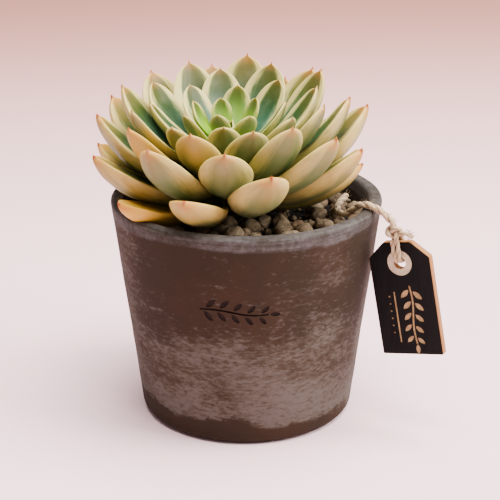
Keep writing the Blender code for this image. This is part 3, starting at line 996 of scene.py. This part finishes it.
def bare_plywood(settings):
    """Laser-cut birch plywood: thin layers, scorched to a warm brown at the cut."""
    material, tree, shader = new_material("laser-cut birch plywood", 0.7)
    depth = add_node(tree, "ShaderNodeAttribute", out=2, attribute_name="ply_depth")
    place = add_node(tree, "ShaderNodeTexCoord", out=3)
    layers = add_node(tree, MATH, {0: depth, 1: math.pi * 3}, operation="MULTIPLY")
    layers = add_node(tree, MATH, {0: layers}, operation="SINE")
    grain = add_node(tree, NOISE, {"Vector": place, "Scale": 900.0, "Detail": 3.0, "Roughness": 0.6})
    mixed = add_node(tree, MATH, {0: layers, 1: grain}, operation="ADD")
    scorch = add_node(tree, RANGE, {0: mixed, 1: -0.4, 2: 1.5, 3: 0.0, 4: 0.55})
    colour = add_node(
        tree, MIX, {0: scorch, 6: tuple(settings.wood), 7: hex_colour("#6A3F1C")}, 2, data_type="RGBA"
    )
    wire(tree, shader, colour)
    return material


def bare_wood(name, dark, light):
    """Bare wood laid open by the laser: dry, and browner the deeper the cut was burnt."""
    material, tree, shader = new_material(name, 0.8)
    place = add_node(tree, "ShaderNodeTexCoord", out=3)
    grain = add_node(tree, NOISE, {"Vector": place, "Scale": 700.0, "Detail": 4.0})
    colour = add_node(tree, RAMP, {0: grain}, stops=[(0.3, dark), (0.75, light)])
    wire(tree, shader, colour)
    return material


class SUCCULENT_OT_tag(bpy.types.Operator):
    """Cut the plywood tag, its hole, the bare ring and the engraved sprig"""

    bl_idname = "succulent.tag"
    bl_label = "Tag"

    def execute(self, context):
        settings = context.scene.tag_settings
        top = TAG_HOLE_DROP
        half, half_top = TAG_WIDTH / 2, TAG_TOP_WIDTH / 2
        outline = [
            (-half, top - TAG_LENGTH),
            (half, top - TAG_LENGTH),
            (half, top - TAG_SHOULDER),
            (half_top, top),
            (-half_top, top),
            (-half, top - TAG_SHOULDER),
        ]
        bm = bmesh.new()
        face = bm.faces.new([bm.verts.new((x, y, -TAG_THICKNESS)) for x, y in outline])
        grown = bmesh.ops.extrude_face_region(bm, geom=[face])["geom"]
        moved = [item for item in grown if isinstance(item, bmesh.types.BMVert)]
        bmesh.ops.translate(bm, verts=moved, vec=(0, 0, TAG_THICKNESS))
        outward(bm)
        upright = [edge for edge in bm.edges if abs(edge.verts[0].co.z - edge.verts[1].co.z) > MM]
        bmesh.ops.bevel(
            bm, geom=upright, offset=0.5 * MM, segments=3, profile=0.5, affect="EDGES", material=-1
        )
        flat = [edge for edge in bm.edges if abs(edge.verts[0].co.z - edge.verts[1].co.z) < 1e-6]
        bmesh.ops.bevel(bm, geom=flat, offset=0.12 * MM, segments=2, profile=0.5, affect="EDGES", material=-1)
        for face in bm.faces:
            face.material_index = 0 if abs(face.normal.z) > 0.99 else 1
        materials = [
            black_paint(settings),
            bare_plywood(settings),
            bare_wood("sanded bare wood", "#B5A285", "#D3C4A6"),
            bare_wood("scorched engraving", "#8A6C45", "#B89A6E"),
        ]
        tag = add_piece("hang_tag", bm, materials, ["tag"], 40)

        def prism(name, shapes, low, high, slot):
            def place(point, level):
                return Vector((point.x, point.y, high if level else low))

            return stamp_cutter(name, shapes, place, len(materials), slot)

        def circle(radius, steps=64):
            angles = [2 * math.pi * k / steps for k in range(steps)]
            return [Vector((radius * math.cos(a), radius * math.sin(a))) for a in angles]

        depth = settings.engraving_depth
        subtract(tag, prism("ring", [circle(5.15 * MM)], -0.15 * MM, MM, 2))
        subtract(tag, prism("hole", [circle(TAG_HOLE_RADIUS)], -2 * TAG_THICKNESS, TAG_THICKNESS, 1))
        down = Matrix.Rotation(math.radians(-90), 2)
        sprig_place = Vector((2.6 * MM, -21.5 * MM))
        sprig = [[down @ p + sprig_place for p in s] for s in sprig_shapes(28 * MM, 8 * MM, 5)]
        rule = [Vector((x * MM, y * MM)) for x, y in ((-4.6, -33), (-4, -33), (-4, -12), (-4.6, -12))]
        dot = circle(0.35 * MM, 12)
        dots = [[p + Vector((-6.6 * MM, (-14 - 3 * k) * MM)) for p in dot] for k in range(6)]
        subtract(tag, prism("engraving", sprig + [rule] + dots, -depth, MM, 3))
        mesh = tag.data
        ply = mesh.attributes.new("ply_depth", "FLOAT", "POINT")
        for index, vert in enumerate(mesh.vertices):
            ply.data[index].value = -vert.co.z / TAG_THICKNESS
        mesh.transform(tag_frame())
        mesh.update()
        return {"FINISHED"}


# Twine


def jute(settings):
    """Jute twine: dry golden fibres, with painted shade darkening the grooves between its strands."""
    material, tree, shader = new_material(
        "twisted jute fibre", 0.9, Specular_IOR_Level=0.2, Sheen_Weight=0.25
    )
    groove = add_node(tree, "ShaderNodeAttribute", out=2, attribute_name="crown")
    lay = add_node(tree, "ShaderNodeAttribute", out=1, attribute_name="fibre")
    fibres = add_node(tree, NOISE, {"Vector": lay, "Scale": 1.0, "Detail": 4.0, "Roughness": 0.65})
    strand = add_node(
        tree,
        RAMP,
        {0: fibres},
        stops=[(0.3, "#8C7150"), (0.48, "#BBA07A"), (0.62, "#CFB894"), (0.8, "#E2D2B4")],
    )
    tinted = add_node(tree, MIX, {0: 0.4, 6: strand, 7: tuple(settings.jute)}, 2, data_type="RGBA")
    # Painted shade: the colour is darker towards the grooves between the plies, as read from the crown value.
    shade = add_node(tree, RANGE, {0: groove, 1: 0.0, 2: 0.6, 3: 0.75, 4: 0.0})
    colour = add_node(tree, MIX, {0: shade, 6: tinted, 7: hex_colour("#5E4630")}, 2, data_type="RGBA")
    normal = add_node(tree, "ShaderNodeBump", {"Strength": 0.7, "Distance": 0.0003, "Height": fibres})
    wire(tree, shader, colour, normal)
    return material


def route_frames(route):
    """Side directions along a route that turn as little as they can."""
    frames = []
    side = None
    for k, point in enumerate(route):
        ahead = route[min(k + 1, len(route) - 1)] - route[max(k - 1, 0)]
        ahead.normalize()
        if side is None:
            side = ahead.orthogonal().normalized()
        side = (side - ahead * side.dot(ahead)).normalized()
        frames.append((point, side, ahead.cross(side)))
    return frames


def twisted_tube(bm, route, radius, twist, plies=2, closed=False):
    """A plied cord: its section has a lobe for each ply and turns along the route."""
    sections = 20
    crown = bm.verts.layers.float.get("crown") or bm.verts.layers.float.new("crown")
    fibre = bm.verts.layers.float_vector.get("fibre") or bm.verts.layers.float_vector.new("fibre")
    rings = []
    travelled = 0.0
    whole = sum_length(route)
    frames = route_frames(route)
    for k, (point, side, up) in enumerate(frames):
        if k:
            travelled += (point - frames[k - 1][0]).length
        end_distance = min(travelled, whole - travelled)
        taper = 1 if closed else smoothstep(-0.6 * radius, 0.5 * radius, end_distance)
        ring = []
        for j in range(sections):
            angle = 2 * math.pi * j / sections
            turned = angle + 2 * math.pi * travelled / twist
            lobe = abs(math.cos(plies * angle / 2))
            size = radius * (0.66 + 0.34 * lobe**0.7) * taper
            vert = bm.verts.new(point + (side * math.cos(turned) + up * math.sin(turned)) * size)
            # The crown value also sets the jute's painted shade in the grooves.
            vert[crown] = lobe
            vert[fibre] = Vector((angle * 5, travelled / MM * 0.45 + angle, 0))
            ring.append(vert)
        rings.append(ring)
    for first, second in zip(rings, rings[1:]):
        for j in range(sections):
            n = (j + 1) % sections
            bm.faces.new((first[j], first[n], second[n], second[j]))
    bm.faces.new(rings[0][::-1])
    bm.faces.new(rings[-1])


def sum_length(route):
    return sum((b - a).length for a, b in zip(route, route[1:]))


def add_fuzz(bm, route, radius, count, chance, longest=3 * MM):
    """Loose fibres that stand off the twine, each a hair-thin sliver."""
    frames = route_frames(route)
    for _ in range(count):
        index = chance.randrange(1, len(frames) - 1)
        point, side, up = frames[index]
        ahead = (route[index + 1] - route[index - 1]).normalized()
        angle = chance.uniform(0, 2 * math.pi)
        away = side * math.cos(angle) + up * math.sin(angle)
        lean = (away + ahead * chance.choice((-1, 1)) * chance.uniform(0.6, 2)).normalized()
        length = chance.uniform(0.3, 1) * longest
        turned = lean.to_track_quat("Z", "Y").to_matrix().to_4x4()
        middle = point + away * radius * 0.8 + lean * length / 2
        place = Matrix.Translation(middle) @ turned
        bmesh.ops.create_cone(
            bm, cap_ends=True, segments=3, radius1=0.08 * MM, radius2=0.02 * MM, depth=length, matrix=place
        )


class SUCCULENT_OT_twine(bpy.types.Operator):
    """Lay the jute twine over the rim, tie its knot and pass its loop through the tag"""

    bl_idname = "succulent.twine"
    bl_label = "Twine"

    def execute(self, context):
        settings = context.scene.twine_settings
        fibre = jute(settings)
        chance = random.Random(3)
        radius = settings.radius
        knot_middle = tag_frame() @ Vector((0, KNOT_ABOVE_HOLE, KNOT_OFF_FACE))
        route = smooth_route([*twine_points(), knot_middle], SECTION_SPACING)
        bm = bmesh.new()
        twisted_tube(bm, route, radius, settings.twist)
        outward(bm)
        twine = add_piece("jute_twine", bm, [fibre], ["twine"])
        knot = self.tie_knot(fibre, settings)
        loop = self.pass_loop(fibre, settings)
        tail, tail_route = self.fray_tail(fibre, settings)
        bm = bmesh.new()
        bm.verts.layers.float.new("crown")
        add_fuzz(bm, route, radius, 260, chance)
        add_fuzz(bm, tail_route, radius, 60, chance)
        outward(bm)
        fuzz = add_piece("twine_fuzz", bm, [fibre])
        tuple(route[0])
        sum_length(route)
        [tuple(point) for point in route[::3]]
        return {"FINISHED"}

    def tie_knot(self, fibre, settings):
        """An overhand knot, pulled tight."""
        place = tag_frame() @ Matrix.Translation((0, KNOT_ABOVE_HOLE, KNOT_OFF_FACE))
        size = 1.05 * MM
        loop = []
        steps = 120
        for k in range(steps):
            a = 2 * math.pi * k / steps
            x = math.sin(a) + 2 * math.sin(2 * a)
            y = math.cos(a) - 2 * math.cos(2 * a)
            loop.append(place @ Vector((x * size * 0.85, y * size, -math.sin(3 * a) * size * 1.3)))
        bm = bmesh.new()
        twisted_tube(bm, loop + loop[:2], 0.95 * MM, settings.twist * 0.8, closed=True)
        outward(bm)
        return add_piece("overhand_knot", bm, [fibre], ["twine_knot"])

    def pass_loop(self, fibre, settings):
        """Two strands side by side, down the tag's face, through its hole and up its back."""
        front = 1.35 * MM
        back = -TAG_THICKNESS - front
        side_view = [
            (10 * MM, front + 0.2 * MM),
            (8 * MM, front),
            (5.5 * MM, front),
            (3 * MM, front + 0.2 * MM),
            (1.3 * MM, 0.9 * MM),
            (0.7 * MM, -0.4 * MM),
            (0.7 * MM, -TAG_THICKNESS + 0.4 * MM),
            (1.3 * MM, back + 0.4 * MM),
            (3 * MM, back - 0.2 * MM),
            (6 * MM, back),
            (8.6 * MM, back + 0.2 * MM),
            (10.6 * MM, back + 1.6 * MM),
            (11.6 * MM, back + 3.4 * MM),
        ]
        bm = bmesh.new()
        for across in (-0.85 * MM, 0.85 * MM):
            spread = [across * (1 + 0.25 * math.sin(k)) for k in range(len(side_view))]
            points = [tag_frame() @ Vector((x, up, out)) for x, (up, out) in zip(spread, side_view)]
            twisted_tube(bm, smooth_route(points, SECTION_SPACING), 0.98 * MM, settings.twist * 0.8)
        outward(bm)
        return add_piece("tag_loop", bm, [fibre], ["twine_strand_1", "twine_strand_2"])

    def fray_tail(self, fibre, settings):
        """The cut end, opened into loose fibres."""
        side_view = [(1.5, 12.3, 0.6), (4, 12.2, 0.6), (6, 11.4, 0.3), (7.6, 10.2, 0)]
        points = [tag_frame() @ (Vector(spot) * MM) for spot in side_view]
        route = smooth_route(points, SECTION_SPACING)
        bm = bmesh.new()
        twisted_tube(bm, route, 0.95 * MM, settings.twist)
        outward(bm)
        return add_piece("frayed_end", bm, [fibre], ["twine_tail"]), route


# Stage


def paper_sweep(settings):
    """Seamless matt paper: smooth, painted darker and redder far behind as painted shade."""
    material, tree, shader = new_material("matt backdrop paper", 0.95, Specular_IOR_Level=0.1)
    place = add_node(tree, "ShaderNodeTexCoord", out=3)
    distance = add_node(tree, "ShaderNodeSeparateXYZ", {0: place}, out=1)
    # Painted shade: the paper darkens towards the back, standing in for the light falling off on the far
    # paper.
    far = add_node(tree, RANGE, {0: distance, 1: 0.0, 2: 0.9}, interpolation_type=SMOOTH)
    colour = add_node(
        tree, MIX, {0: far, 6: tuple(settings.floor), 7: tuple(settings.backdrop)}, 2, data_type="RGBA"
    )
    grain = add_node(tree, NOISE, {"Vector": place, "Scale": 260.0, "Detail": 4.0})
    normal = add_node(tree, "ShaderNodeBump", {"Strength": 0.12, "Distance": 0.0004, "Height": grain})
    wire(tree, shader, colour, normal)
    return material


def add_area_light(name, place, target, size, power, colour):
    data = bpy.data.lights.new(name, "AREA")
    data.energy = power
    data.size = size
    data.color = hex_colour(colour)[:3]
    light = bpy.data.objects.new(name, data)
    light.location = place
    light.rotation_euler = (Vector(target) - Vector(place)).to_track_quat("-Z", "Y").to_euler()
    bpy.context.scene.collection.objects.link(light)


class SUCCULENT_OT_stage(bpy.types.Operator):
    """Lay the floor, hang the lights and place the camera"""

    bl_idname = "succulent.stage"
    bl_label = "Stage"

    def execute(self, context):
        settings = context.scene.stage_settings
        bm = bmesh.new()
        bmesh.ops.create_grid(bm, x_segments=2, y_segments=2, size=4)
        mesh = bpy.data.meshes.new("floor")
        bm.to_mesh(mesh)
        bm.free()
        mesh.materials.append(paper_sweep(settings))
        floor = bpy.data.objects.new("floor", mesh)
        context.scene.collection.objects.link(floor)
        middle = (0, 0, 0.07)
        add_area_light("window", (0.95, -0.2, 0.8), middle, 0.7, 32, "#FFFBF8")
        add_area_light("ceiling", (0.1, -0.06, 1.3), middle, 0.9, 68, "#FFF8F5")
        world = bpy.data.worlds.new("soft room")
        world.use_nodes = True
        background = world.node_tree.nodes["Background"]
        background.inputs["Color"].default_value = hex_colour("#F6EAE8")
        background.inputs["Strength"].default_value = 0.42
        context.scene.world = world
        lens_data = bpy.data.cameras.new("camera")
        lens_data.lens = 100.8
        lens_data.sensor_width = 36
        lens_data.clip_start = 0.01
        camera = bpy.data.objects.new("camera", lens_data)
        camera.location = (0.0014, -0.537, 0.2673)
        looking_down = 20.5
        camera.rotation_euler = (math.radians(90 - looking_down), 0, 0)
        context.scene.collection.objects.link(camera)
        context.scene.camera = camera
        return {"FINISHED"}


OPERATORS = (
    SUCCULENT_OT_pot,
    SUCCULENT_OT_soil,
    SUCCULENT_OT_gravel,
    SUCCULENT_OT_stem,
    SUCCULENT_OT_leaves,
    SUCCULENT_OT_tag,
    SUCCULENT_OT_twine,
    SUCCULENT_OT_stage,
)


class SUCCULENT_PT_panel(bpy.types.Panel):
    """The pieces of the potted succulent"""

    bl_idname = "SUCCULENT_PT_panel"
    bl_label = "Potted succulent"
    bl_space_type = "VIEW_3D"
    bl_region_type = "UI"
    bl_category = "Succulent"

    def draw(self, context):
        for operator in OPERATORS:
            self.layout.operator(operator.bl_idname)
        for name, group in SETTINGS.items():
            box = self.layout.box()
            box.label(text=name.replace("_", " ").capitalize())
            for key in group.__annotations__:
                box.prop(getattr(context.scene, name), key)


def register():
    for group in SETTINGS.values():
        bpy.utils.register_class(group)
    for name, group in SETTINGS.items():
        setattr(bpy.types.Scene, name, PointerProperty(type=group))
    for cls in (*OPERATORS, SUCCULENT_PT_panel):
        bpy.utils.register_class(cls)


def unregister():
    for cls in (SUCCULENT_PT_panel, *reversed(OPERATORS)):
        bpy.utils.unregister_class(cls)
    for name, group in SETTINGS.items():
        delattr(bpy.types.Scene, name)
        bpy.utils.unregister_class(group)


def main():
    register()
    bpy.ops.succulent.pot()
    bpy.ops.succulent.soil()
    bpy.ops.succulent.gravel()
    bpy.ops.succulent.stem()
    bpy.ops.succulent.leaves()
    bpy.ops.succulent.tag()
    bpy.ops.succulent.twine()
    bpy.ops.succulent.stage()


if __name__ == "__main__":
    main()
